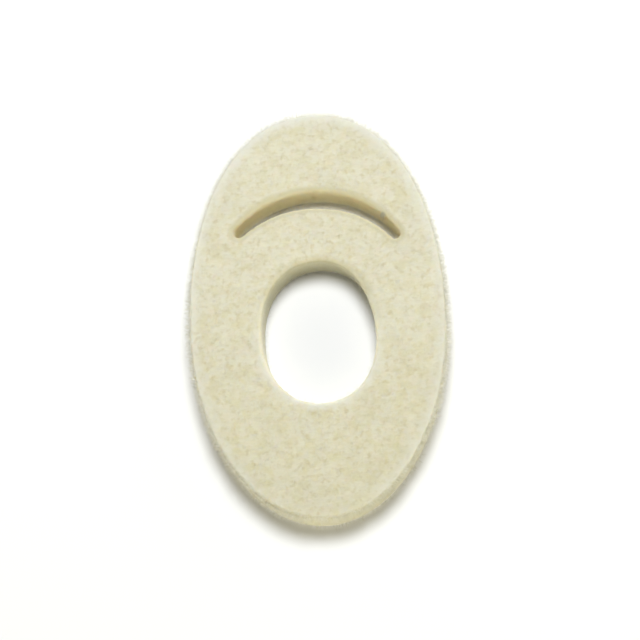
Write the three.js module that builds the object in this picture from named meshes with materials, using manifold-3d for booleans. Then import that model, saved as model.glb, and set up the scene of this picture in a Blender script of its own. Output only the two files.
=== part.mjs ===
// A bunion pad: an oval of thick wool felt with an oval hole for the joint and a crescent
// slit above it, and an adhesive backing under release paper cut to the same outline.
// It lies flat on its backing. Z is up, and the toe end points along +Y.
// Sizes are in millimetres and angles in degrees.
import * as THREE from "three";
import { mergeVertices } from "three/addons/utils/BufferGeometryUtils.js";
import Module from "manifold-3d";

// The pad's outline: two half ovals that meet on its widest line.
const PAD_WIDTH = 44.5;
const TOE_END_LENGTH = 38.9;
const HEEL_END_LENGTH = 35.6;
const TOE_END_FULLNESS = 2.16;
const HEEL_END_FULLNESS = 2.0;

// Its layers, and the softened upper edge of the felt.
const FELT_THICKNESS = 5;
const BACKING_THICKNESS = 0.5;
const EDGE_ROUNDING = 0.6;

// The hole that goes over the joint. The rim is the felt between it and the heel end.
const HOLE_WIDTH = 20.3;
const HOLE_LENGTH = 26.2;
const HOLE_FULLNESS = 2.15;
const HOLE_HEEL_RIM = 20.6;
const HOLE_SIDE_SHIFT = 0.3;
const HOLE_TURN = 2.3;

// The crescent slit. It arches over the hole, and both its ends point towards the heel.
const SLIT_WIDTH = 3;
const SLIT_END_WIDTH = 1.8;
const SLIT_RISE = 6.3;
const SLIT_SIDE_RIM = 8.4;
const SLIT_BRIDGE = 10.2;
const SLIT_SIDE_SHIFT = -0.5;
const SLIT_TURN = -4.4;

// How finely the round outlines and the softened edge are stepped.
const OUTLINE_STEPS = 96;
const HOLE_STEPS = 60;
const SLIT_EDGE_STEPS = 20;
const SLIT_END_STEPS = 6;
const ROUNDING_STEPS = 3;

const heelEndY = -(TOE_END_LENGTH + HEEL_END_LENGTH) / 2;
const widestLineY = heelEndY + HEEL_END_LENGTH;
const holeCentre = new THREE.Vector2(
  HOLE_SIDE_SHIFT,
  heelEndY + HOLE_HEEL_RIM + HOLE_LENGTH / 2,
);

const feltMaterial = new THREE.MeshStandardMaterial({
  color: 0xe3dbc0,
  roughness: 0.95,
  metalness: 0,
});
const backingMaterial = new THREE.MeshStandardMaterial({
  color: 0xeeead9,
  roughness: 0.7,
  metalness: 0,
});

const wasm = await Module();
wasm.setup();

// A closed oval. Each end has its own length from the widest line, and its own fullness:
// 2 is half an ellipse, and more is fuller at the shoulders.
class Oval extends THREE.Curve {
  constructor(width, ends) {
    super();
    this.width = width;
    this.ends = ends;
  }

  getPoint(share, target = new THREE.Vector2()) {
    const turn = share * 2 * Math.PI;
    const across = Math.cos(turn);
    const along = Math.sin(turn);
    const end = along >= 0 ? this.ends.toe : this.ends.heel;
    const power = 2 / end.fullness;
    return target.set(
      (this.width / 2) * Math.sign(across) * Math.abs(across) ** power,
      end.length * Math.sign(along) * Math.abs(along) ** power,
    );
  }

  outlinePoints(steps) {
    return this.getSpacedPoints(steps).slice(0, steps);
  }
}

function padOutline() {
  const oval = new Oval(PAD_WIDTH, {
    toe: { length: TOE_END_LENGTH, fullness: TOE_END_FULLNESS },
    heel: { length: HEEL_END_LENGTH, fullness: HEEL_END_FULLNESS },
  });
  const widestLine = new THREE.Vector2(0, widestLineY);
  return oval.outlinePoints(OUTLINE_STEPS).map((point) => point.add(widestLine));
}

function holeOutline() {
  const end = { length: HOLE_LENGTH / 2, fullness: HOLE_FULLNESS };
  const oval = new Oval(HOLE_WIDTH, { toe: end, heel: end });
  const turn = THREE.MathUtils.degToRad(HOLE_TURN);
  return oval
    .outlinePoints(HOLE_STEPS)
    .map((point) => point.add(holeCentre).rotateAround(holeCentre, turn));
}

// A point at an angle from straight up on a circle round a centre.
function onCircle(centre, radius, angle) {
  return new THREE.Vector2(
    centre.x + radius * Math.sin(angle),
    centre.y + radius * Math.cos(angle),
  );
}

// The crescent is an arc of a circle, widest in its middle, with a half circle at each end.
function slitOutline() {
  const halfSpan = PAD_WIDTH / 2 - SLIT_SIDE_RIM;
  const radius = (halfSpan ** 2 + SLIT_RISE ** 2) / (2 * SLIT_RISE);
  const reach = Math.atan2(halfSpan, radius - SLIT_RISE);
  const topY = holeCentre.y + HOLE_LENGTH / 2 + SLIT_BRIDGE + SLIT_WIDTH / 2;
  const centre = new THREE.Vector2(SLIT_SIDE_SHIFT, topY - radius);

  const edge = (side) =>
    Array.from({ length: SLIT_EDGE_STEPS + 1 }, (_, step) => {
      const share = (2 * step) / SLIT_EDGE_STEPS - 1;
      const width = THREE.MathUtils.lerp(SLIT_WIDTH, SLIT_END_WIDTH, share ** 2);
      return onCircle(centre, radius + (side * width) / 2, share * reach);
    });
  const roundEnd = (side) =>
    Array.from({ length: SLIT_END_STEPS - 1 }, (_, step) => {
      const swing = (Math.PI * (step + 1)) / SLIT_END_STEPS;
      const middle = onCircle(centre, radius, side * reach);
      return onCircle(middle, SLIT_END_WIDTH / 2, side * (reach + swing));
    });

  const outline = [
    ...edge(1),
    ...roundEnd(1),
    ...edge(-1).reverse(),
    ...roundEnd(-1).reverse(),
  ];
  const turn = THREE.MathUtils.degToRad(SLIT_TURN);
  return outline.map((point) => point.rotateAround(centre, turn));
}

// Both layers are cut with one die, so both have this shape.
function dieShape() {
  const shape = new THREE.Shape(padOutline());
  shape.holes.push(new THREE.Path(holeOutline()), new THREE.Path(slitOutline()));
  return shape;
}

function solidFrom(geometry) {
  const bare = geometry.clone();
  bare.deleteAttribute("normal");
  bare.deleteAttribute("uv");
  const merged = mergeVertices(bare, 1e-4);
  const mesh = new wasm.Mesh({
    numProp: 3,
    vertProperties: new Float32Array(merged.attributes.position.array),
    triVerts: new Uint32Array(merged.index.array),
  });
  return new wasm.Manifold(mesh);
}

function geometryFrom(solid) {
  const mesh = solid.getMesh();
  const geometry = new THREE.BufferGeometry();
  geometry.setAttribute("position", new THREE.BufferAttribute(mesh.vertProperties, 3));
  geometry.setIndex(new THREE.BufferAttribute(mesh.triVerts, 1));
  geometry.computeVertexNormals();
  return geometry;
}

// The felt: a blank with all its edges rounded, sliced flat along the plane where it is
// bonded, so that only the upper edges stay soft.
function makeFelt() {
  const belowBond = EDGE_ROUNDING;
  const blank = new THREE.ExtrudeGeometry(dieShape(), {
    depth: belowBond + FELT_THICKNESS - EDGE_ROUNDING,
    bevelEnabled: true,
    bevelThickness: EDGE_ROUNDING,
    bevelSize: EDGE_ROUNDING,
    bevelOffset: -EDGE_ROUNDING,
    bevelSegments: ROUNDING_STEPS,
  });
  blank.translate(0, 0, BACKING_THICKNESS - belowBond);

  const margin = PAD_WIDTH;
  const waste = new THREE.BoxGeometry(
    PAD_WIDTH + margin,
    TOE_END_LENGTH + HEEL_END_LENGTH + margin,
    margin,
  );
  waste.translate(0, 0, BACKING_THICKNESS - margin / 2);

  const felt = solidFrom(blank).subtract(solidFrom(waste));
  const mesh = new THREE.Mesh(geometryFrom(felt), feltMaterial);
  mesh.name = "felt_pad";
  return mesh;
}

// The backing: the thin adhesive layer and its release paper, bonded face to face to the felt.
function makeBacking() {
  const sheet = new THREE.ExtrudeGeometry(dieShape(), {
    depth: BACKING_THICKNESS,
    bevelEnabled: false,
  });
  const mesh = new THREE.Mesh(sheet, backingMaterial);
  mesh.name = "adhesive_backing";
  return mesh;
}

const bunionPad = new THREE.Group();
bunionPad.name = "bunion_pad";
bunionPad.add(makeFelt(), makeBacking());

export default bunionPad;
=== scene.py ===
"""The looks of a felt bunion pad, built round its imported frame.

One die cuts the slab of wool felt and the adhesive backing under it, with an oval hole
and a crescent slit. The slab gets the relief of felted wool, a matted nap and the fibres
that fray from its cut edges. The backing gets its adhesive film and release paper.
Lengths are in metres and angles in radians.
"""

import math

import bmesh
import bpy
import numpy as np
from bpy.props import FloatProperty, FloatVectorProperty, IntProperty, PointerProperty
from bpy.types import Operator, Panel, PropertyGroup
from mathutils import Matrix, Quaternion, Vector, noise
from mathutils.geometry import delaunay_2d_cdt
from mathutils.kdtree import KDTree


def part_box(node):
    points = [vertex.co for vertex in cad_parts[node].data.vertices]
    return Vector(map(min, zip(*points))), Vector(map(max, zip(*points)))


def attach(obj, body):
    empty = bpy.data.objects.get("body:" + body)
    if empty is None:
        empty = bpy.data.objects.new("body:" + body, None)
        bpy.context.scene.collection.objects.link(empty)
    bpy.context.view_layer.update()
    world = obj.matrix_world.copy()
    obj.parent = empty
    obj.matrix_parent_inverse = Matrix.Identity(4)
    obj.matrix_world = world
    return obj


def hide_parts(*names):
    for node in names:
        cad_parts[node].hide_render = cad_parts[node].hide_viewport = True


bl_info = {
    "name": "Felt Bunion Pad",
    "version": (1, 0, 0),
    "blender": (4, 5, 0),
    "location": "3D View > Sidebar > Bunion Pad",
    "description": "Makes a die-cut felt bunion pad with its nap, frayed edges and backing",
    "category": "Add Mesh",
}

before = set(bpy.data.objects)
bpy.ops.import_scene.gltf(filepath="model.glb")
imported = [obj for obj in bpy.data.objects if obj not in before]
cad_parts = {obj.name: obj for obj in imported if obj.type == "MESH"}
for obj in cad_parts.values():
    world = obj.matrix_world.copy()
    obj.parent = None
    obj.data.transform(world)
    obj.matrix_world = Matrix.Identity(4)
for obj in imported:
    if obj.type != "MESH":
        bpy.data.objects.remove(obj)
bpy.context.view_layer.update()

MM = 0.001
FELT_LOW, FELT_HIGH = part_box("felt_pad")
BACKING_LOW, BACKING_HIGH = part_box("adhesive_backing")

# The cuts of the die, in the order that every list of them follows.
OUTER, HOLE, SLIT = range(3)

# The wool's markings. Its streaks are combed one way, and the mat's fibres lie in three,
# each with its turn in degrees and its width in millimetres.
MOTTLE_SIZE = 1.6 * MM
SPOT_SIZE = 0.95 * MM
CLOUD_SIZE = 6 * MM
STREAK_SIZE = 0.4 * MM
COMBED_WAY = math.radians(-12)
MATTED_WAYS = ((-12, 0.16), (38, 0.13), (-64, 0.15))
FLANK_LAYER_SIZE = 0.22 * MM

# Where along Y the heel end's yellower tint, painted warm light of the fill on the heel side,
# is full, and where it has gone.
HEEL_TINT_FULL = -32 * MM
HEEL_TINT_GONE = 8 * MM

# How far each zone reaches, in from a cut, down its flank or up from its foot: the painted
# shade of the lips and flanks, the painted highlight of the edges, the painted bounce light
# of the slit, the relief's calm foot and layers, and the fibres.
LIP_DEPTH = 0.5 * MM
LIP_REACH = MM
RIM_REACH = 2 * MM
# How far down the slit's flank the painted golden bounce light takes over.
SLIT_BOUNCE_DEPTH = 0.9 * MM
LAYERS_DEPTH = 1.2 * MM
CALM_FOOT = 0.5 * MM
FRAY_REACH = 0.9 * MM
NAP_MARGIN = 0.2 * MM
NAP_RISE = MM
TUFT_DEPTH = 0.3 * MM

# Shares for the outer edge, the hole and the slit in turn.
# Painted shade on the flanks, for each cut.
FLANK_SHADE_SHARES = np.array([0.9, 1, 1])
# How much the flanks' painted shade lightens towards their foot, as painted bounce light.
FADE_SHARES = np.array([0.5, 0.2, 0.2])
INNER_FRAY_SHARES = np.array([0, 1, 2])

# How strongly a zone acts in one place, where 1 is full. The last value is how far down
# the felt, as a share of its thickness, the slit's foot starts to fray.
# Painted highlight on the open edges that face the pad's sides.
SIDE_HIGHLIGHT = 0.6
# Painted shade near the lips of the slit and the hole.
SLIT_LIP_TINT = 0.9
HOLE_LIP_TINT = 0.5
# Painted shade on the flanks at the pad's two sides.
SIDE_SHADE_STRENGTH = 0.25
FLANK_FRAY = 0.08
SLIT_FOOT_FRAY = 1.4
SLIT_FOOT_START = 0.65

# Shares of the slab's mesh spacing and waver: the strip with no inner points along its
# top edge, and the backing's own spacing and waver.
RIM_CLEARANCE = 0.6
BACKING_SPACING = 1.5
BACKING_WAVER = 0.7

# A fibre with three points and three sides has 14 triangles. Its root is sunk and its tip
# is thinner by shares of its length and width.
FIBRE_POINTS = 3
FIBRE_SIDES = 3
ROOT_DEPTH = 0.05
TIP_THINNING = 0.6

# The numbers that the fibres' tree takes as its inputs.
FIBRE_SIZES = (
    "density", "shortest", "longest", "thickness", "lean", "rise", "tip",
    "heading", "spread", "curl", "curl_size", "lowest", "palest",
)

# The gap under the pad, the camera's sensor in millimetres, and the height (as a sine)
# at which the room's bright walls start to dim.
TABLE_GAP = 0.05 * MM
SENSOR_WIDTH = 36
WALL_FOOT = 0.1


def number(name, description, value, **more):
    """A property that holds a number."""
    return FloatProperty(name=name, description=description, default=value, **more)


def how_many(name, description, value):
    """A property that holds a count."""
    return IntProperty(name=name, description=description, default=value)


def length(name, description, millimetres):
    """A property that holds a length, with its default given in millimetres."""
    metres = millimetres * MM
    return number(name, description, metres, subtype="DISTANCE", unit="LENGTH", precision=5)


def angle(name, description, degrees):
    """A property that holds an angle, with its default given in degrees."""
    radians = math.radians(degrees)
    return number(name, description, radians, subtype="ANGLE", unit="ROTATION")


def colour(name, description, value):
    """A property that holds a linear colour."""
    return FloatVectorProperty(
        name=name, description=description, default=value, min=0, max=1, subtype="COLOR"
    )


class CutSettings(PropertyGroup):
    """How the die leaves the felt's edges."""

    outer_rounding: length("Outer Rounding", "Least radius of the outer top edge", 0.3)
    worn_rounding: length("Worn Rounding", "Radius of the outer top edge where it is worn", 0.65)
    # The side this heading names also gets painted shade on its flank, as it faces away from the
    # key light.
    worn_heading: angle("Worn Heading", "Side where the outer edge is worn, from +X", 235)
    hole_rounding: length("Hole Rounding", "Radius of the hole's top edge", 0.75)
    slit_rounding: length("Slit Rounding", "Radius of the slit's top edge", 1.0)
    outer_swell: length("Outer Swell", "How far the outer top edge stands past the cut", 0.2)
    hole_bulge: length("Hole Bulge", "How far the hole's top edge leans in at one side", 0.6)
    bulge_heading: angle("Bulge Heading", "Way that the hole's edge leans, from +X", 203)
    flank_hollow: length("Flank Hollow", "How far the cut flank draws in", 0.08)
    foot_flare: length("Foot Flare", "How far the felt spreads at its foot", 0.1)
    waver: length("Waver", "How far the cut wanders from the die line", 0.03)
    waver_size: length("Waver Size", "Length of one wander along the cut", 2.6)
    spacing: length("Mesh Spacing", "Distance between the slab's vertices", 0.26)


class FeltSettings(PropertyGroup):
    """The relief and the colours of the wool felt."""

    undulation_size: length("Undulation Size", "Width of the broad swells", 9)
    undulation_height: length("Undulation Height", "Height of the broad swells", 0.12)
    lump_size: length("Lump Size", "Width of the matted lumps", 1.9)
    lump_height: length("Lump Height", "Height of the matted lumps", 0.07)
    pile_size: length("Pile Size", "Width of the fine pile", 0.6)
    pile_height: length("Pile Height", "Height of the fine pile", 0.05)
    layer_height: length("Layer Height", "Thickness of the wool layers in a flank", 0.35)
    cream: colour("Cream", "Main colour of the wool", (0.66, 0.635, 0.505))
    straw: colour("Straw", "Yellower wool of the hollows", (0.62, 0.582, 0.40))
    rose: colour("Rose", "Pink tint of the wool", (0.665, 0.605, 0.47))
    ochre: colour("Ochre", "Small dark spots of the wool", (0.52, 0.46, 0.27))
    # Painted highlight: the open edges are paler where their fuzz catches the light.
    rim: colour("Rim", "Paler wool of the open edges", (0.675, 0.68, 0.625))
    # Painted shade: the flanks that face away from the key light turn darker and yellower.
    flank: colour("Flank", "Wool of the flanks that face the heel end", (0.42, 0.40, 0.272))
    # Painted golden bounce light, on the walls inside the narrow slit.
    core: colour("Core", "Golden wool inside the slab, where it is cut", (0.88, 0.80, 0.545))


# The sizes among these, which the relief's tree takes as its inputs.
RELIEF_SIZES = [n for n in FeltSettings.__annotations__ if n.endswith(("_size", "_height"))]


class FibreSettings(PropertyGroup):
    """The loose fibres on the nap and the cut edges."""

    curl_size: length("Curl Size", "Width of one curl of a fibre", 0.7)
    nap_count: how_many("Nap Count", "Fibres that lie on the top", 13000)
    nap_length: length("Nap Length", "Longest fibre of the nap", 1.4)
    nap_thickness: length("Nap Thickness", "Diameter of all but the outer fray", 0.035)
    fray_count: how_many("Fray Count", "Fibres on the outer edge, and on the inner", 13000)
    fray_length: length("Fray Length", "Longest fibre of the outer edge", 1.25)
    inner_fray_length: length("Inner Fray Length", "Longest in the hole and slit", 1.0)
    fray_thickness: length("Fray Thickness", "Diameter of the outer edge's fibres", 0.05)
    tuft_across: length("Tuft Across", "Root of the tuft at the slit, along X", 12.3)
    tuft_along: length("Tuft Along", "Root of the tuft at the slit, along Y", 17.8)
    tuft_width: length("Tuft Width", "Width of the tuft at its root", 0.8)
    tuft_length: length("Tuft Length", "Longest fibre of the tuft", 1.9)
    tuft_count: how_many("Tuft Count", "Fibres of the tuft", 90)


class BackingSettings(PropertyGroup):
    """The adhesive film and the release paper under the felt."""

    paper_thickness: length("Paper Thickness", "Thickness of the release paper", 0.32)
    film_inset: length("Film Inset", "How far the film stops short of the cut", 0.13)
    paper: colour("Paper", "Colour of the release paper", (0.86, 0.84, 0.75))
    film: colour("Film", "Colour of the adhesive film", (0.60, 0.54, 0.38))


class StageSettings(PropertyGroup):
    """The camera, the table and the light."""

    aim_across: length("Aim Across", "Point that the camera looks at, along X", 0.26)
    aim_along: length("Aim Along", "Point that the camera looks at, along Y", -0.59)
    aim_height: length("Aim Height", "Point that the camera looks at, along Z", 2.75)
    distance: length("Distance", "From the camera to that point", 497.75)
    azimuth: angle("Azimuth", "Camera's turn round the pad from the heel end", 14.52)
    elevation: angle("Elevation", "Camera's height over the table", 69.37)
    roll: angle("Roll", "Camera's turn about its own line of sight", -17.5)
    lens: number("Lens", "Focal length", 159.7, unit="CAMERA")
    key_power: number("Key Power", "Power of the key light", 3.9, unit="POWER")
    key_distance: length("Key Distance", "From the pad to the key light and the card", 600)
    key_size: length("Key Size", "Width of the key light", 325)
    key_azimuth: angle("Key Azimuth", "Key light's turn from the toe end to +X", 14)
    key_elevation: angle("Key Elevation", "Key light's height over the table", 69.5)
    key_colour: colour("Key Colour", "Colour of the key light", (0.965, 0.985, 1.0))
    ceiling: number("Ceiling", "Brightness of the room overhead", 0.06, min=0)
    walls: number("Walls", "Brightness of the room at the horizon", 2.55, min=0)
    wall_height: angle("Wall Height", "How high the bright walls reach", 30)
    brighter_across: number("Brighter Across", "Share the room gains towards +X", 0.05)
    brighter_along: number("Brighter Along", "Share the room gains towards +Y", -0.4)
    room_colour: colour("Room Colour", "Colour of the room's own light", (1, 0.965, 0.81))
    card_power: number("Card Power", "Power of the front card", 0.8, unit="POWER")
    card_width: length("Card Width", "Width of the front card", 500)
    card_height: length("Card Height", "Height of the front card", 90)
    card_azimuth: angle("Card Azimuth", "Front card's turn from the toe end to +X", 172)
    card_elevation: angle("Card Elevation", "Front card's height over the table", 8)
    table: colour("Table", "Colour of the table", (0.87, 0.87, 0.87))


class BunionPadSettings(PropertyGroup):
    """All that a user would change."""

    cut: PointerProperty(type=CutSettings)
    felt: PointerProperty(type=FeltSettings)
    fibres: PointerProperty(type=FibreSettings)
    backing: PointerProperty(type=BackingSettings)
    stage: PointerProperty(type=StageSettings)


class Wire:
    """An output socket that takes part in arithmetic, each step a Math node."""

    def __init__(self, graph, socket):
        self.graph = graph
        self.socket = socket

    def other(self, name):
        """Another output of the same node."""
        return Wire(self.graph, self.socket.node.outputs[name])

    def math(self, operation, *others):
        return self.graph.math(operation, self, *others)

    def __add__(self, other):
        return self.graph.math("ADD", self, other)

    def __sub__(self, other):
        return self.graph.math("SUBTRACT", self, other)

    def __rsub__(self, other):
        return self.graph.math("SUBTRACT", other, self)

    def __mul__(self, other):
        return self.graph.math("MULTIPLY", self, other)

    def __truediv__(self, other):
        return self.graph.math("DIVIDE", self, other)

    def __rtruediv__(self, other):
        return self.graph.math("DIVIDE", other, self)

    __radd__ = __add__
    __rmul__ = __mul__


class Graph:
    """Adds nodes to a material's tree or a Geometry Nodes tree."""

    def __init__(self, tree):
        self.tree = tree
        tree.nodes.clear()

    def add(self, kind, settings=None, inputs=None, output=0):
        """A node of a kind: its settings are set first, then its sockets."""
        node = self.tree.nodes.new(kind)
        for name, value in (settings or {}).items():
            setattr(node, name, value)
        for key, value in (inputs or {}).items():
            self.feed(node.inputs[key], value)
        return Wire(self, node.outputs[output]) if node.outputs else None

    def feed(self, socket, value):
        """Links a wire, or each of a list of wires, to a socket, or sets its value."""
        if isinstance(value, list):
            for wire in value:
                self.feed(socket, wire)
        elif isinstance(value, Wire):
            self.tree.links.new(value.socket, socket)
        else:
            socket.default_value = value

    def math(self, operation, *values):
        return self.add("ShaderNodeMath", {"operation": operation}, dict(enumerate(values)))

    def vector(self, operation, *values, scale=None):
        """A Vector Math node."""
        inputs = dict(enumerate(values))
        if scale is not None:
            inputs["Scale"] = scale
        return self.add("ShaderNodeVectorMath", {"operation": operation}, inputs)

    def blend(self, amount, first, second):
        """Two colours mixed."""
        inputs = {0: amount, 6: first, 7: second}
        return self.add("ShaderNodeMix", {"data_type": "RGBA"}, inputs, output=2)

    def bump(self, height, strength, distance):
        """A normal that leans as the height rises."""
        inputs = {"Strength": strength, "Distance": distance, "Height": height}
        return self.add("ShaderNodeBump", inputs=inputs)

    def smooth_step(self, value, low, high):
        """0 below low, 1 above high, and a smooth rise between them."""
        return self.add(
            "ShaderNodeMapRange",
            {"interpolation_type": "SMOOTHSTEP"},
            {"Value": value, "From Min": low, "From Max": high},
        )

    def noise(self, place, size, detail=2, roughness=0.5, output=0):
        """Noise whose features are as wide as size."""
        inputs = {"Vector": place, "Scale": 1 / size, "Detail": detail, "Roughness": roughness}
        return self.add("ShaderNodeTexNoise", inputs=inputs, output=output)


def opaque(rgb):
    """A colour property as the four numbers that a colour socket takes."""
    return (*rgb, 1)


def material_graph(name):
    """A new material and the graph of its nodes."""
    material = bpy.data.materials.new(name)
    material.use_nodes = True
    return material, Graph(material.node_tree)


def finish_material(graph, **sockets):
    """Ends a material in a Principled shader. Its sockets are named with _ for a space."""
    inputs = {name.replace("_", " "): value for name, value in sockets.items()}
    shader = graph.add("ShaderNodeBsdfPrincipled", inputs=inputs)
    graph.add("ShaderNodeOutputMaterial", inputs={"Surface": shader})


def attribute(graph, name):
    """A number that each vertex of the piece holds."""
    return graph.add("ShaderNodeAttribute", {"attribute_name": name}, output="Fac")


def stretched(graph, place, turn, scale):
    """The place turned about Z and scaled, for noise that is drawn out one way."""
    inputs = {"Vector": place, "Rotation": (0, 0, turn), "Scale": scale}
    return graph.add("ShaderNodeMapping", inputs=inputs)


def wool_colour(graph, place, felt):
    """Cream wool, mottled with straw, rose and ochre, and yellower towards the heel end as
    painted warm fill light.
    """
    along = graph.add("ShaderNodeSeparateXYZ", inputs={"Vector": place}, output="Y")
    # Painted warm light from the fill on the heel side.
    heel = 1 - graph.smooth_step(along, HEEL_TINT_FULL, HEEL_TINT_GONE)
    mottle = graph.noise(place, MOTTLE_SIZE, detail=3, roughness=0.6, output="Color")
    parts = graph.add("ShaderNodeSeparateColor", inputs={"Color": mottle})
    yellow = graph.smooth_step(parts, 0.4, 0.64) * 0.75 + heel * 0.3
    pink = graph.smooth_step(parts.other("Green"), 0.48, 0.7) * 0.5
    spots = graph.smooth_step(graph.noise(place, SPOT_SIZE), 0.5, 0.76) * 0.55
    shade = graph.blend(yellow, opaque(felt.cream), opaque(felt.straw))
    shade = graph.blend(pink, shade, opaque(felt.rose))
    shade = graph.blend(spots, shade, opaque(felt.ochre))

    cloud = graph.noise(place, CLOUD_SIZE)
    combed = stretched(graph, place, COMBED_WAY, (0.35, 1, 1))
    streaks = graph.noise(combed, STREAK_SIZE)
    light = 1 + (cloud - 0.5) * 0.09 + (streaks - 0.5) * 0.13
    return graph.vector("SCALE", shade, scale=light)


def with_painted_light(graph, shade, felt, tint_share):
    """A colour that turns to the painted shade of the flanks and lips, and to the painted golden
    bounce light inside the slit.
    """
    shade = graph.blend(attribute(graph, "tint") * tint_share, shade, opaque(felt.flank))
    return graph.blend(attribute(graph, "core"), shade, opaque(felt.core))


def with_side_shade(graph, shade):
    """A colour with painted shade on the flanks at the pad's two sides."""
    return graph.vector("SCALE", shade, scale=1 - attribute(graph, "dusk") * SIDE_SHADE_STRENGTH)


def matted_height(graph, place):
    """Height of fibres matted in three directions, and of the layers in a cut flank."""
    height = 0
    for turn, size in MATTED_WAYS:
        along = stretched(graph, place, math.radians(turn), (0.12, 1, 1))
        height = graph.noise(along, size * MM, detail=3, roughness=0.6) + height
    flattened = stretched(graph, place, 0, (0.18, 0.18, 1))
    return height + graph.noise(flattened, FLANK_LAYER_SIZE)


def felt_material(felt):
    material, graph = material_graph("wool_felt")
    place = graph.add("ShaderNodeTexCoord", output="Object")
    # Painted shade on the flanks and lips, and painted bounce light in the slit.
    shade = with_painted_light(graph, wool_colour(graph, place, felt), felt, 1.0)
    # Painted highlight along the open edges.
    shade = graph.blend(attribute(graph, "rim") * 0.9, shade, opaque(felt.rim))
    finish_material(
        graph,
        # Painted shade on the flanks at the pad's two sides.
        Base_Color=with_side_shade(graph, shade),
        Roughness=0.86 + graph.noise(place, 0.5 * MM) * 0.14,
        Normal=graph.bump(matted_height(graph, place), 0.4, 0.05 * MM),
        Specular_IOR_Level=0.25,
        Subsurface_Weight=0.6,
        Subsurface_Radius=(1.0, 0.75, 0.4),
        Subsurface_Scale=1.3 * MM,
        Sheen_Weight=0.22,
        Sheen_Roughness=0.5,
        Sheen_Tint=(1, 0.98, 0.92, 1),
    )
    return material


def fibre_material(felt):
    """Translucent single fibres, each paler or yellower than the next, golden in the slit as
    painted bounce light, and with the painted shade of the flanks where they grow.
    """
    material, graph = material_graph("wool_fibre")
    place = graph.add("ShaderNodeTexCoord", output="Object")
    shade = wool_colour(graph, place, felt)
    # Each fibre turns at random toward the paler colour of the edges' painted highlight.
    shade = graph.blend(attribute(graph, "shade"), shade, opaque(felt.rim))
    finish_material(
        graph,
        # The fibres take the painted shade and painted bounce light of the slab where they grow.
        Base_Color=with_side_shade(graph, with_painted_light(graph, shade, felt, 0.9)),
        Roughness=0.8 + graph.noise(place, 0.4 * MM) * 0.15,
        Specular_IOR_Level=0.25,
        Subsurface_Weight=1.0,
        Subsurface_Radius=(1.0, 0.9, 0.7),
        Subsurface_Scale=0.1 * MM,
    )
    return material


def paper_material(backing):
    material, graph = material_graph("release_paper")
    place = graph.add("ShaderNodeTexCoord", output="Object")
    pulp = graph.noise(place, 0.35 * MM, detail=3, roughness=0.65)
    cloud = graph.noise(place, 4 * MM)
    light = 1 + (pulp - 0.5) * 0.07 + (cloud - 0.5) * 0.05
    finish_material(
        graph,
        Base_Color=graph.vector("SCALE", tuple(backing.paper), scale=light),
        Roughness=0.42 + cloud * 0.16,
        Normal=graph.bump(pulp, 0.3, 0.02 * MM),
        Specular_IOR_Level=0.5,
    )
    return material


def film_material(backing):
    material, graph = material_graph("adhesive_film")
    place = graph.add("ShaderNodeTexCoord", output="Object")
    beads = graph.noise(place, 0.5 * MM)
    shade = graph.vector("SCALE", tuple(backing.film), scale=0.9 + beads * 0.2)
    finish_material(graph, Base_Color=shade, Roughness=0.3 + beads * 0.2)
    return material


def table_material(stage):
    material, graph = material_graph("pale_table")
    finish_material(graph, Base_Color=opaque(stage.table), Roughness=0.8)
    return material


def chained(edges):
    """Closed loops of vertices, from edges that meet two at each vertex."""
    neighbours = {}
    for edge in edges:
        first, second = edge.verts
        neighbours.setdefault(first, []).append(second)
        neighbours.setdefault(second, []).append(first)
    loops = []
    unused = dict.fromkeys(neighbours)
    while unused:
        before = next(iter(unused))
        loop = [before]
        here = neighbours[before][0]
        while here is not loop[0]:
            loop.append(here)
            one, two = neighbours[here]
            before, here = here, two if one is before else one
        for vertex in loop:
            del unused[vertex]
        loops.append(loop)
    return loops


def signed_area(points):
    after = np.roll(points, -1, axis=0)
    return float(np.sum(points[:, 0] * after[:, 1] - after[:, 0] * points[:, 1]) / 2)


def die_outlines():
    """The outer outline, the hole and the slit, from the underside of the CAD backing."""
    flat = bmesh.new()
    flat.from_mesh(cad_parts["adhesive_backing"].data)
    bmesh.ops.remove_doubles(flat, verts=flat.verts, dist=MM / 1000)

    def underneath(face):
        return all(vertex.co.z < BACKING_LOW.z + MM / 100 for vertex in face.verts)

    border = [e for e in flat.edges if sum(map(underneath, e.link_faces)) == 1]
    loops = [np.array([v.co.xy for v in loop]) for loop in chained(border)]
    flat.free()
    loops.sort(key=lambda points: -abs(signed_area(points)))
    turned = []
    for order, points in enumerate(loops):
        felt_is_left = (signed_area(points) > 0) == (order == OUTER)
        turned.append(points if felt_is_left else points[::-1])
    return turned


def smooth_closed(points, steps=16):
    """A closed outline through the points, with a cubic between each two."""
    after = np.roll(points, -1, axis=0)
    chord = np.linalg.norm(after - points, axis=1)[:, None]
    slope = (after - points) / chord
    last_chord = np.roll(chord, 1, axis=0)
    last_slope = np.roll(slope, 1, axis=0)
    heading = (slope * last_chord + last_slope * chord) / (chord + last_chord)
    leaving = (heading * chord)[:, None]
    arriving = (np.roll(heading, -1, axis=0) * chord)[:, None]
    t = np.linspace(0, 1, steps, endpoint=False)[None, :, None]
    curve = (
        (2 * t**3 - 3 * t**2 + 1) * points[:, None]
        + (t**3 - 2 * t**2 + t) * leaving
        + (3 * t**2 - 2 * t**3) * after[:, None]
        + (t**3 - t**2) * arriving
    )
    return curve.reshape(-1, 2)


def even_steps(points, spacing):
    """A closed outline again, with its points an even distance apart."""
    closed = np.vstack([points, points[:1]])
    along = np.concatenate([[0], np.cumsum(np.linalg.norm(np.diff(closed, axis=0), axis=1))])
    count = round(along[-1] / spacing)
    places = np.linspace(0, along[-1], count, endpoint=False)
    return np.column_stack([np.interp(places, along, closed[:, axis]) for axis in (0, 1)])


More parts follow.
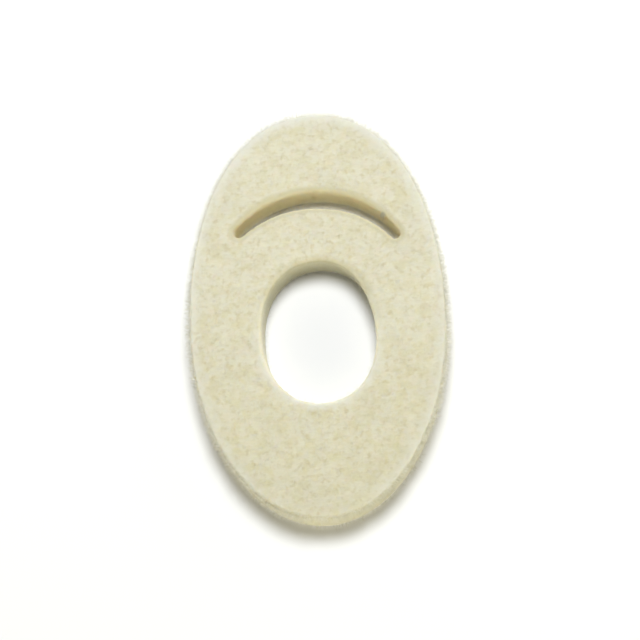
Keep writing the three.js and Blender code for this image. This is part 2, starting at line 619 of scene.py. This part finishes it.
def sides_of(face):
    """A triangle's three edges, each with the triangle on its left."""
    a, b, c = face
    return (a, b), (b, c), (c, a)


class Cut:
    """One closed cut of the die, with even points and the way into the felt at each."""

    def __init__(self, outline, spacing, waver, waver_size):
        points = even_steps(smooth_closed(outline), spacing)
        along = np.roll(points, -1, axis=0) - np.roll(points, 1, axis=0)
        along /= np.linalg.norm(along, axis=1)[:, None]
        self.into_felt = np.column_stack([-along[:, 1], along[:, 0]])
        wander = [
            noise.fractal(Vector((x, y, 0)) / waver_size, 1.0, 2.0, 2) for x, y in points
        ]
        self.points = points + self.into_felt * np.array(wander)[:, None] * waver


class DieCut:
    """All the cuts of the die together."""

    def __init__(self, spacing, waver, waver_size):
        self.spacing = spacing
        self.cuts = [Cut(o, spacing, waver, waver_size) for o in die_outlines()]
        self.points = np.vstack([cut.points for cut in self.cuts])
        self.into_felt = np.vstack([cut.into_felt for cut in self.cuts])
        self.cut_index = np.concatenate(
            [np.full(len(cut.points), index) for index, cut in enumerate(self.cuts)]
        )
        self.finder = KDTree(len(self.points))
        for index, (x, y) in enumerate(self.points):
            self.finder.insert((x, y, 0), index)
        self.finder.balance()

    def depth(self, x, y):
        """How far into the felt a point lies, below 0 outside it, and the nearest point."""
        nearest, index, away = self.finder.find((x, y, 0))
        way_in = self.into_felt[index]
        inside = (x - nearest.x) * way_in[0] + (y - nearest.y) * way_in[1] > 0
        return (away if inside else -away), index

    def edges(self):
        """The edges that close each cut, as pairs of point numbers."""
        pairs = []
        start = 0
        for cut in self.cuts:
            count = len(cut.points)
            pairs += [(start + i, start + (i + 1) % count) for i in range(count)]
            start += count
        return pairs

    def scattered(self, clearance, stray=0.2, seed=11):
        """Points spread over the felt on a loose triangular grid, clear of the cuts."""
        random = np.random.default_rng(seed)
        low, high = self.points.min(0), self.points.max(0)
        row_height = self.spacing * math.sqrt(3) / 2
        rows = []
        for row, y in enumerate(np.arange(low[1], high[1], row_height)):
            x = np.arange(low[0] + (row % 2) * self.spacing / 2, high[0], self.spacing)
            rows.append(np.column_stack([x, np.full_like(x, y)]))
        grid = np.vstack(rows)
        grid += random.uniform(-stray, stray, grid.shape) * self.spacing
        kept = []
        for x, y in grid:
            depth, nearest = self.depth(x, y)
            if depth > clearance[nearest]:
                kept.append((x, y))
        return np.array(kept)

    def triangles(self, border, inner=()):
        """Triangles over the felt inside a border that follows the cuts."""
        points = [Vector(p) for p in (*border, *inner)]
        made = delaunay_2d_cdt(points, self.edges(), [], 0, 1e-9)
        if len(made[0]) != len(points):
            raise ValueError("the cuts cross each other, so the slab can't be filled")
        faces = [tuple(face) for face in made[2]]
        cuts = set(self.edges())
        left_of = {side: face for face in faces for side in sides_of(face)}
        reached = {left_of[side] for side in cuts}
        waiting = list(reached)
        while waiting:
            for a, b in sides_of(waiting.pop()):
                across = left_of.get((b, a))
                if (a, b) not in cuts and across and across not in reached:
                    reached.add(across)
                    waiting.append(across)
        return [face for face in faces if face in reached]


def facing(outward, heading):
    """How squarely each way out of the felt faces a heading, from 0 to 1."""
    return np.clip(outward @ (math.cos(heading), math.sin(heading)), 0, 1)


def top_roundings(cut, die):
    """Radius of the top edge at each point of the cuts."""
    wear = facing(-die.into_felt, cut.worn_heading) ** 2
    outer = cut.outer_rounding + (cut.worn_rounding - cut.outer_rounding) * wear
    return np.choose(die.cut_index, [outer, cut.hole_rounding, cut.slit_rounding])


def top_swells(cut, die):
    """How far the top edge stands past the die line at each point of the cuts."""
    bulge = cut.hole_bulge * facing(-die.into_felt, cut.bulge_heading) ** 8
    return np.choose(die.cut_index, [cut.outer_swell, bulge, 0])


def flank_profile(cut, rounding, swell, corner_rings=8):
    """The flank from its top down: rows of insets and of heights, a column for each point."""
    corner = np.linspace(0, math.pi / 2, corner_rings)[:-1, None]
    rounded_insets = rounding * (1 - np.sin(corner)) - swell
    rounded_heights = FELT_HIGH.z - rounding * (1 - np.cos(corner))
    down = np.linspace(0, 1, round((FELT_HIGH.z - FELT_LOW.z) / cut.spacing))[:, None]
    hollow = cut.flank_hollow * np.sin(math.pi * down)
    straight_insets = hollow - swell * (1 - down) - cut.foot_flare * down**2
    straight_heights = FELT_LOW.z + (FELT_HIGH.z - rounding - FELT_LOW.z) * (1 - down)
    insets = np.vstack([rounded_insets, straight_insets])
    return insets, np.vstack([rounded_heights, straight_heights])


def slab_mesh(name, die, cut):
    """A closed slab with rounded upper edges, and its zones as attributes."""
    insets, heights = flank_profile(cut, top_roundings(cut, die), top_swells(cut, die))
    around = len(die.points)
    border = np.vstack([die.points + die.into_felt * row[:, None] for row in insets])
    inner = die.scattered(insets[0] + die.spacing * RIM_CLEARANCE)
    inner_depths = [die.depth(x, y) for x, y in inner]
    flat = np.vstack([border, inner])
    inset = np.concatenate([insets.ravel(), [depth for depth, _ in inner_depths]])
    heights = np.concatenate([heights.ravel(), np.full(len(inner), FELT_HIGH.z)])
    nearest = np.tile(np.arange(around), len(insets))
    nearest = np.concatenate([nearest, [index for _, index in inner_depths]])

    past_rings = len(border) - around
    top = [
        tuple(i if i < around else i + past_rings for i in face)
        for face in die.triangles(border[:around], inner)
    ]
    underside = [
        tuple(past_rings + i for i in reversed(face))
        for face in die.triangles(border[past_rings:])
    ]
    flank = [
        (ring + a, ring + around + a, ring + around + b, ring + b)
        for ring in range(0, past_rings, around)
        for a, b in die.edges()
    ]
    mesh = bpy.data.meshes.new(name)
    mesh.from_pydata(np.column_stack([flat, heights]).tolist(), [], top + flank + underside)
    mesh.shade_smooth()
    side = die.cut_index[nearest]
    outward = -die.into_felt[nearest]
    store_zones(mesh, np.maximum(inset, 0), FELT_HIGH.z - heights, side, outward, flat)
    return mesh


def store_zones(mesh, inset, below, side, outward, flat):
    """Shares that say how free, highlighted, shaded, golden or frayed each vertex is.

    The open edges get a painted highlight, palest where they face the toe end and the key
    light. The flanks get painted shade, yellowest where they face the heel end or the side
    with the wider rounding, away from the key light, paler further down as painted bounce
    light, and dimmest at the pad's two sides. The slit's inside gets painted golden bounce
    light.
    """
    cut = bpy.context.scene.bunion_pad.cut
    fibres = bpy.context.scene.bunion_pad.fibres
    thickness = FELT_HIGH.z - FELT_LOW.z
    toeward = outward[:, 1]
    flank = below > MM / 100
    from_edge = np.hypot(inset, below)
    fray = np.clip(1 - from_edge / FRAY_REACH, 0, 1) * flank + FLANK_FRAY * flank
    slit_foot = (side == SLIT) * (below > thickness * SLIT_FOOT_START) * SLIT_FOOT_FRAY
    # Painted highlight on the open edges, strongest where they face the toe end and the key
    # light.
    pale = np.where(
        toeward > 0,
        SIDE_HIGHLIGHT + (1 - SIDE_HIGHLIGHT) * toeward,
        SIDE_HIGHLIGHT * (1 - toeward**4),
    )
    pale = np.where(side == HOLE, np.clip(toeward + 0.5, 0, 1), pale)
    # Painted shade on the flanks that face the heel end, away from the key light.
    yellow = np.clip(-1.8 * toeward + 0.3 * (side > OUTER), 0, 1) * FLANK_SHADE_SHARES[side]
    # Painted shade on the flank of the side with the wider rounding, which faces away from the
    # key light.
    worn_and_shaded = facing(outward, cut.worn_heading) ** 4 * (side == OUTER)
    # The painted shade lightens down the flank, as painted bounce light from the table.
    fade = FADE_SHARES[side] * below / thickness
    # Painted shade near the slit's lips, and near the hole's lips that face the heel end.
    lip = np.choose(side, [0, HOLE_LIP_TINT * yellow, SLIT_LIP_TINT])
    lip = lip * np.clip(1.3 - from_edge / LIP_REACH, 0, 1)
    beneath_lip = np.clip(below / LIP_DEPTH, 0, 1)
    near_edge = np.clip(1 - from_edge / RIM_REACH, 0, 1) * (1 - beneath_lip)
    root = (fibres.tuft_across, fibres.tuft_along)
    from_root = np.linalg.norm(flat - root, axis=1)
    zones = {
        "free": np.clip((thickness - below) / CALM_FOOT, 0, 1),
        "flank": np.clip(below / LAYERS_DEPTH, 0, 1),
        # Painted shade on the flanks and lips.
        "tint": np.maximum(np.maximum(yellow, worn_and_shaded) * beneath_lip * (1 - fade), lip),
        # Painted shade on the flanks at the pad's two sides.
        "dusk": np.abs(outward[:, 0]) * beneath_lip * (side == OUTER),
        # Painted golden bounce light inside the slit.
        "core": np.clip(below / SLIT_BOUNCE_DEPTH, 0, 1) * (side == SLIT),
        # Painted highlight along the open edges.
        "rim": pale * near_edge * (side != SLIT),
        "nap": np.clip((inset - NAP_MARGIN) / NAP_RISE, 0, 1) * ~flank,
        "outer_fray": fray * (side == OUTER),
        "inner_fray": (fray + slit_foot) * INNER_FRAY_SHARES[side],
        "tuft": (from_root < fibres.tuft_width / 2) * (below < TUFT_DEPTH),
    }
    for name, values in zones.items():
        layer = mesh.attributes.new(name, "FLOAT", "POINT")
        layer.data.foreach_set("value", values.astype(np.float32))


def geometry_tree(name, **inputs):
    """A Geometry Nodes tree with named inputs, and the wires that carry them."""
    kinds = {float: "NodeSocketFloat", int: "NodeSocketInt", str: "NodeSocketString"}
    tree = bpy.data.node_groups.new(name, "GeometryNodeTree")
    tree.interface.new_socket("Geometry", in_out="INPUT", socket_type="NodeSocketGeometry")
    tree.interface.new_socket("Geometry", in_out="OUTPUT", socket_type="NodeSocketGeometry")
    for label, kind in inputs.items():
        socket_type = kinds.get(kind, kind)
        tree.interface.new_socket(label, in_out="INPUT", socket_type=socket_type)
    graph = Graph(tree)
    start = graph.add("NodeGroupInput")
    return graph, start, {label: start.other(label) for label in inputs}


def in_material(graph, geometry, material):
    """The geometry made real, with a material."""
    geometry = graph.add("GeometryNodeRealizeInstances", inputs={"Geometry": geometry})
    inputs = {"Geometry": geometry, "Material": material}
    return graph.add("GeometryNodeSetMaterial", inputs=inputs)


def moved(graph, geometry, **how):
    """The geometry with each point moved, by an Offset or to a Position."""
    return graph.add("GeometryNodeSetPosition", inputs={"Geometry": geometry, **how})


def named(graph, name, kind="FLOAT"):
    """An attribute of the geometry, read by its name."""
    settings = {"data_type": kind}
    return graph.add("GeometryNodeInputNamedAttribute", settings, {"Name": name})


def relief_tree():
    """Raises a slab's surface along its normals by swells, lumps, pile and wool layers."""
    graph, geometry, size = geometry_tree(
        "Felted relief",
        **dict.fromkeys(RELIEF_SIZES, float),
        material="NodeSocketMaterial",
    )
    place = graph.add("GeometryNodeInputPosition")
    rise = 0
    for kind in ("undulation", "lump", "pile"):
        swell = graph.noise(place, size[kind + "_size"], detail=1)
        rise = (swell - 0.5) * size[kind + "_height"] * 2 + rise
    squeezed = graph.vector("MULTIPLY", place, (0.2, 0.2, 1))
    layers = graph.noise(squeezed, size["layer_height"], detail=1)
    rise = rise + (layers - 0.5) * size["pile_height"] * named(graph, "flank") * 2
    rise = rise * named(graph, "free")
    normal = graph.add("GeometryNodeInputNormal")
    raised = moved(graph, geometry, Offset=graph.vector("SCALE", normal, scale=rise))
    slab = in_material(graph, raised, size["material"])
    graph.add("NodeGroupOutput", inputs={"Geometry": slab})
    return graph.tree


def random_between(graph, low, high, seed):
    """A random number for each point or instance."""
    inputs = {2: low, 3: high, "Seed": seed}
    return graph.add("FunctionNodeRandomValue", {"data_type": "FLOAT"}, inputs, output=1)


def fibre_tree():
    """Scatters curled, tapered fibres over a zone of a surface."""
    graph, geometry, size = geometry_tree(
        "Loose fibres",
        zone=str,
        **dict.fromkeys(FIBRE_SIZES, float),
        seed=int,
        material="NodeSocketMaterial",
    )
    seed = size["seed"]
    density = named(graph, size["zone"]) * size["density"]
    roots = graph.add(
        "GeometryNodeDistributePointsOnFaces",
        {"distribute_method": "RANDOM"},
        {"Mesh": geometry, "Density": density, "Seed": seed},
    )
    half = size["spread"] / 2
    turn = random_between(graph, size["heading"] - half, size["heading"] + half, seed + 1)
    spin = graph.add(
        "FunctionNodeAxisAngleToRotation", inputs={"Axis": (0, 0, 1), "Angle": turn}
    )
    stance = graph.add(
        "FunctionNodeRotateRotation",
        {"rotation_space": "LOCAL"},
        {"Rotation": roots.other("Rotation"), "Rotate By": spin},
    )
    middle = graph.add(
        "ShaderNodeCombineXYZ", inputs={"X": size["lean"] / 2, "Z": size["rise"]}
    )
    end = graph.add("ShaderNodeCombineXYZ", inputs={"X": size["lean"], "Z": size["tip"]})
    root = (0, 0, -ROOT_DEPTH)
    arc = graph.add(
        "GeometryNodeCurveQuadraticBezier",
        inputs={"Resolution": 8, "Start": root, "Middle": middle, "End": end},
    )
    arc = graph.add(
        "GeometryNodeResampleCurve", {"mode": "COUNT"}, {"Curve": arc, "Count": FIBRE_POINTS}
    )
    long = random_between(graph, size["shortest"], size["longest"], seed + 2)
    fibres = graph.add(
        "GeometryNodeInstanceOnPoints",
        inputs={"Points": roots, "Instance": arc, "Rotation": stance, "Scale": long},
    )
    shade = random_between(graph, size["palest"] / 2, size["palest"], seed + 3)
    fibres = graph.add(
        "GeometryNodeStoreNamedAttribute",
        {"data_type": "FLOAT", "domain": "INSTANCE"},
        {"Geometry": fibres, "Name": "shade", "Value": shade},
    )
    fibres = graph.add("GeometryNodeRealizeInstances", inputs={"Geometry": fibres})

    along = graph.add("GeometryNodeSplineParameter")
    place = graph.add("GeometryNodeInputPosition")
    drift = graph.noise(place, size["curl_size"], detail=1, output="Color")
    drift = graph.vector("SUBTRACT", drift, (0.5, 0.5, 0.5))
    reach = along * size["curl"] * 2
    place = graph.vector("ADD", place, graph.vector("SCALE", drift, scale=reach))
    floor = graph.add(
        "ShaderNodeCombineXYZ", inputs={"X": -1.0, "Y": -1.0, "Z": size["lowest"]}
    )
    curled = moved(graph, fibres, Position=graph.vector("MAXIMUM", place, floor))
    section = graph.add(
        "GeometryNodeCurvePrimitiveCircle",
        inputs={"Resolution": FIBRE_SIDES, "Radius": size["thickness"] / 2},
    )
    taper = 1 - along * TIP_THINNING
    solid = graph.add(
        "GeometryNodeCurveToMesh",
        inputs={"Curve": curled, "Profile Curve": section, "Scale": taper, "Fill Caps": True},
    )
    solid = graph.add("GeometryNodeSetShadeSmooth", inputs={"Geometry": solid})
    fibres = in_material(graph, solid, size["material"])
    graph.add("NodeGroupOutput", inputs={"Geometry": fibres})
    return graph.tree


def backing_tree():
    """Two flat layers cut to the outlines: the release paper, and the film set back on it."""
    graph, outlines, size = geometry_tree(
        "Die cut layers",
        paper_thickness=float,
        film_thickness=float,
        film_inset=float,
        paper="NodeSocketMaterial",
        film="NodeSocketMaterial",
    )
    layers = []
    for inset, base, thickness, material in (
        (0.0, 0.0, size["paper_thickness"], size["paper"]),
        (size["film_inset"], size["paper_thickness"], size["film_thickness"], size["film"]),
    ):
        way_in = named(graph, "into_felt", "FLOAT_VECTOR")
        border = moved(graph, outlines, Offset=graph.vector("SCALE", way_in, scale=inset))
        line = graph.add("GeometryNodeMeshToCurve", inputs={"Mesh": border})
        sheet = graph.add("GeometryNodeFillCurve", {"mode": "TRIANGLES"}, {"Curve": line})
        upward = {"Offset": (0, 0, 1), "Offset Scale": thickness, "Individual": False}
        raised = graph.add(
            "GeometryNodeExtrudeMesh", {"mode": "FACES"}, {"Mesh": sheet, **upward}
        )
        turned = graph.add("GeometryNodeFlipFaces", inputs={"Mesh": sheet})
        both = graph.add("GeometryNodeJoinGeometry", inputs={"Geometry": [raised, turned]})
        closed = graph.add(
            "GeometryNodeMergeByDistance", inputs={"Geometry": both, "Distance": MM / 1000}
        )
        lift = graph.add("ShaderNodeCombineXYZ", inputs={"Z": base})
        layers.append(in_material(graph, moved(graph, closed, Offset=lift), material))
    joined = graph.add("GeometryNodeJoinGeometry", inputs={"Geometry": layers})
    graph.add("NodeGroupOutput", inputs={"Geometry": joined})
    return graph.tree


def new_piece(name, data):
    """A new object in the scene: a piece of the pad, or the table, camera or a light."""
    made = bpy.data.objects.new(name, data)
    bpy.context.scene.collection.objects.link(made)
    return made


def grown(name, mesh, tree, **sizes):
    """A piece with the plain mesh that a Geometry Nodes tree makes from a mesh."""
    piece = new_piece(name, mesh)
    modifier = piece.modifiers.new(tree.name, "NODES")
    modifier.node_group = tree
    for item in tree.interface.items_tree:
        if item.in_out == "INPUT" and item.name in sizes:
            modifier[item.identifier] = sizes[item.name]
    depsgraph = bpy.context.evaluated_depsgraph_get()
    made = bpy.data.meshes.new_from_object(
        piece.evaluated_get(depsgraph), preserve_all_data_layers=True, depsgraph=depsgraph
    )
    piece.modifiers.remove(modifier)
    piece.data = made
    made.name = name
    return piece


def one_of_each(items, name, kind=np.float32):
    """One value of each of a mesh's items, as an array."""
    values = np.zeros(len(items), kind)
    items.foreach_get(name, values)
    return values


def zone_area(mesh, zone):
    """Area of a mesh, each part counted as much as its zone says."""
    corners = one_of_each(mesh.loops, "vertex_index", np.int32)
    values = one_of_each(mesh.attributes[zone].data, "value")
    starts = one_of_each(mesh.polygons, "loop_start", np.int32)
    areas = one_of_each(mesh.polygons, "area")
    counts = np.diff(np.append(starts, len(corners)))
    return float(np.sum(areas * np.add.reduceat(values[corners], starts) / counts))


def scatter_fibres(name, zone, count, thickness, heading=0.0, spread=2 * math.pi, **sizes):
    """About as many fibres as the count says in a zone of the slab, as one piece."""
    settings = bpy.context.scene.bunion_pad
    slab = bpy.data.objects["felt_slab"]
    tree = bpy.data.node_groups.get("Loose fibres") or fibre_tree()
    material = bpy.data.materials.get("wool_fibre") or fibre_material(settings.felt)
    piece = grown(
        name,
        slab.data,
        tree,
        zone=zone,
        density=count / zone_area(slab.data, zone),
        thickness=thickness,
        heading=heading,
        spread=spread,
        lowest=BACKING_LOW.z + thickness,
        curl_size=settings.fibres.curl_size,
        material=material,
        **sizes,
    )
    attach(piece, "root")


class BUNION_PAD_OT_cut_felt(Operator):
    """Cut the slab of felt with its hole and slit, and raise its relief"""

    bl_idname = "bunion_pad.cut_felt"
    bl_label = "Cut the Felt"

    def execute(self, context):
        settings = context.scene.bunion_pad
        cut = settings.cut
        felt = settings.felt
        die = DieCut(cut.spacing, cut.waver, cut.waver_size)
        slab = grown(
            "felt_slab",
            slab_mesh("die_cut_slab", die, cut),
            relief_tree(),
            **{name: getattr(felt, name) for name in RELIEF_SIZES},
            material=felt_material(felt),
        )
        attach(slab, "root")
        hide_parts("felt_pad")
        return {"FINISHED"}


class BUNION_PAD_OT_raise_nap(Operator):
    """Lay the matted nap of loose fibres on the felt's top"""

    bl_idname = "bunion_pad.raise_nap"
    bl_label = "Raise the Nap"

    def execute(self, context):
        fibres = context.scene.bunion_pad.fibres
        scatter_fibres(
            "felt_nap",
            "nap",
            fibres.nap_count,
            fibres.nap_thickness,
            shortest=fibres.nap_length * 0.35,
            longest=fibres.nap_length,
            lean=1.0,
            rise=0.09,
            tip=0.01,
            curl=0.25 * MM,
            palest=0.35,
            seed=3,
        )
        return {"FINISHED"}


class BUNION_PAD_OT_fray_edges(Operator):
    """Fray the cut edges: the outer edge, and the edges of the hole and the slit"""

    bl_idname = "bunion_pad.fray_edges"
    bl_label = "Fray the Edges"

    def execute(self, context):
        fibres = context.scene.bunion_pad.fibres
        for zone, longest, thickness, palest, seed in (
            ("outer_fray", fibres.fray_length, fibres.fray_thickness, 1.0, 21),
            ("inner_fray", fibres.inner_fray_length, fibres.nap_thickness, 0.2, 34),
        ):
            scatter_fibres(
                zone,
                zone,
                fibres.fray_count,
                thickness,
                shortest=longest * 0.3,
                longest=longest,
                lean=0.5,
                rise=0.5,
                tip=0.9,
                curl=0.2 * MM,
                palest=palest,
                seed=seed,
            )
        return {"FINISHED"}


class BUNION_PAD_OT_pull_tuft(Operator):
    """Pull a tuft of wool from the slit's toe side over its wall"""

    bl_idname = "bunion_pad.pull_tuft"
    bl_label = "Pull the Tuft"

    def execute(self, context):
        fibres = context.scene.bunion_pad.fibres
        scatter_fibres(
            "slit_tuft",
            "tuft",
            fibres.tuft_count,
            fibres.nap_thickness,
            shortest=fibres.tuft_length * 0.6,
            longest=fibres.tuft_length,
            lean=0.9,
            rise=0.2,
            tip=-0.15,
            heading=math.radians(-80),
            spread=math.radians(30),
            curl=0.25 * MM,
            palest=0.3,
            seed=55,
        )
        return {"FINISHED"}


class BUNION_PAD_OT_cut_backing(Operator):
    """Cut the release paper and its adhesive film with the same die"""

    bl_idname = "bunion_pad.cut_backing"
    bl_label = "Cut the Backing"

    def execute(self, context):
        settings = context.scene.bunion_pad
        backing = settings.backing
        cut = settings.cut
        spacing = cut.spacing * BACKING_SPACING
        die = DieCut(spacing, cut.waver * BACKING_WAVER, cut.waver_size)
        outlines = bpy.data.meshes.new("backing_outlines")
        corners = np.column_stack([die.points, np.zeros(len(die.points))])
        outlines.from_pydata(corners.tolist(), die.edges(), [])
        way_in = outlines.attributes.new("into_felt", "FLOAT_VECTOR", "POINT")
        directions = np.column_stack([die.into_felt, np.zeros(len(die.points))])
        way_in.data.foreach_set("vector", directions.astype(np.float32).ravel())
        thickness = BACKING_HIGH.z - BACKING_LOW.z
        piece = grown(
            "backing_layers",
            outlines,
            backing_tree(),
            paper_thickness=backing.paper_thickness,
            film_thickness=thickness - backing.paper_thickness,
            film_inset=backing.film_inset,
            paper=paper_material(backing),
            film=film_material(backing),
        )
        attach(piece, "root")
        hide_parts("adhesive_backing")
        return {"FINISHED"}


def direction(azimuth, elevation, start):
    """A way up from the table, turned from the toe end if start is 1, or the heel if -1."""
    level = math.cos(elevation)
    along = start * math.cos(azimuth) * level
    return Vector((math.sin(azimuth) * level, along, math.sin(elevation)))


class BUNION_PAD_OT_set_stage(Operator):
    """Set the camera, the pale table and the soft light"""

    bl_idname = "bunion_pad.set_stage"
    bl_label = "Set the Stage"

    def execute(self, context):
        stage = context.scene.bunion_pad.stage
        self.place_camera(context.scene, stage)
        self.lay_table(stage)
        self.light_the_pad(stage)
        self.paint_room(context.scene, stage)
        context.scene.view_settings.view_transform = "Standard"
        return {"FINISHED"}

    @staticmethod
    def place_camera(scene, stage):
        back = direction(stage.azimuth, stage.elevation, -1)
        aim = Vector((stage.aim_across, stage.aim_along, stage.aim_height))
        camera = new_piece("camera", bpy.data.cameras.new("camera"))
        camera.data.lens = stage.lens
        camera.data.sensor_width = SENSOR_WIDTH
        camera.data.clip_start = stage.distance / 10
        camera.location = aim + back * stage.distance
        camera.rotation_mode = "QUATERNION"
        camera.rotation_quaternion = back.to_track_quat("Z", "Y") @ Quaternion(
            (0, 0, 1), stage.roll
        )
        scene.camera = camera

    @staticmethod
    def lay_table(stage):
        mesh = bpy.data.meshes.new("table")
        far = 1.5
        height = BACKING_LOW.z - TABLE_GAP
        corners = [(-far, -far), (far, -far), (far, far), (-far, far)]
        mesh.from_pydata([(x, y, height) for x, y in corners], [], [(0, 1, 2, 3)])
        mesh.materials.append(table_material(stage))
        new_piece("table", mesh)

    @staticmethod
    def hang_light(lamp, azimuth, elevation, distance):
        """Hangs an area light that faces the pad."""
        towards = direction(azimuth, elevation, 1)
        light = new_piece(lamp.name, lamp)
        light.location = towards * distance
        light.rotation_mode = "QUATERNION"
        light.rotation_quaternion = towards.to_track_quat("Z", "Y")
        light.visible_camera = False

    def light_the_pad(self, stage):
        key = bpy.data.lights.new("key_light", "AREA")
        key.shape = "DISK"
        key.size = stage.key_size
        key.energy = stage.key_power
        key.color = stage.key_colour
        self.hang_light(key, stage.key_azimuth, stage.key_elevation, stage.key_distance)
        card = bpy.data.lights.new("front_card", "AREA")
        card.shape = "RECTANGLE"
        card.size = stage.card_width
        card.size_y = stage.card_height
        card.energy = stage.card_power
        card.color = stage.room_colour
        self.hang_light(card, stage.card_azimuth, stage.card_elevation, stage.key_distance)

    @staticmethod
    def paint_room(scene, stage):
        room = bpy.data.worlds.new("white_room")
        scene.world = room
        room.use_nodes = True
        graph = Graph(room.node_tree)
        towards = graph.add("ShaderNodeTexCoord", output="Generated")
        height = graph.add("ShaderNodeSeparateXYZ", inputs={"Vector": towards}, output="Z")
        overhead = graph.smooth_step(
            height.math("ABSOLUTE"), WALL_FOOT, math.sin(stage.wall_height)
        )
        side = height.other("X") * stage.brighter_across
        side = side + height.other("Y") * stage.brighter_along
        strength = (stage.walls + overhead * (stage.ceiling - stage.walls)) * (side + 1)
        light = graph.add(
            "ShaderNodeBackground",
            inputs={"Color": opaque(stage.room_colour), "Strength": strength},
        )
        graph.add("ShaderNodeOutputWorld", inputs={"Surface": light})


class VIEW3D_PT_bunion_pad(Panel):
    """The steps that make the pad, in order"""

    bl_label = "Bunion Pad"
    bl_space_type = "VIEW_3D"
    bl_region_type = "UI"
    bl_category = "Bunion Pad"

    def draw(self, context):
        settings = context.scene.bunion_pad
        for step in STEPS:
            self.layout.operator(step.bl_idname)
        for group_name in BunionPadSettings.__annotations__:
            group = getattr(settings, group_name)
            box = self.layout.box()
            for name in group.__annotations__:
                box.prop(group, name)


STEPS = (
    BUNION_PAD_OT_set_stage,
    BUNION_PAD_OT_cut_felt,
    BUNION_PAD_OT_raise_nap,
    BUNION_PAD_OT_fray_edges,
    BUNION_PAD_OT_pull_tuft,
    BUNION_PAD_OT_cut_backing,
)
CLASSES = (
    CutSettings,
    FeltSettings,
    FibreSettings,
    BackingSettings,
    StageSettings,
    BunionPadSettings,
    *STEPS,
    VIEW3D_PT_bunion_pad,
)


def register():
    for cls in CLASSES:
        bpy.utils.register_class(cls)
    bpy.types.Scene.bunion_pad = PointerProperty(type=BunionPadSettings)


def unregister():
    del bpy.types.Scene.bunion_pad
    for cls in reversed(CLASSES):
        bpy.utils.unregister_class(cls)


def main():
    """Makes the whole pad."""
    register()
    bpy.ops.bunion_pad.set_stage()
    bpy.ops.bunion_pad.cut_felt()
    bpy.ops.bunion_pad.raise_nap()
    bpy.ops.bunion_pad.fray_edges()
    bpy.ops.bunion_pad.pull_tuft()
    bpy.ops.bunion_pad.cut_backing()


if __name__ == "__main__":
    main()
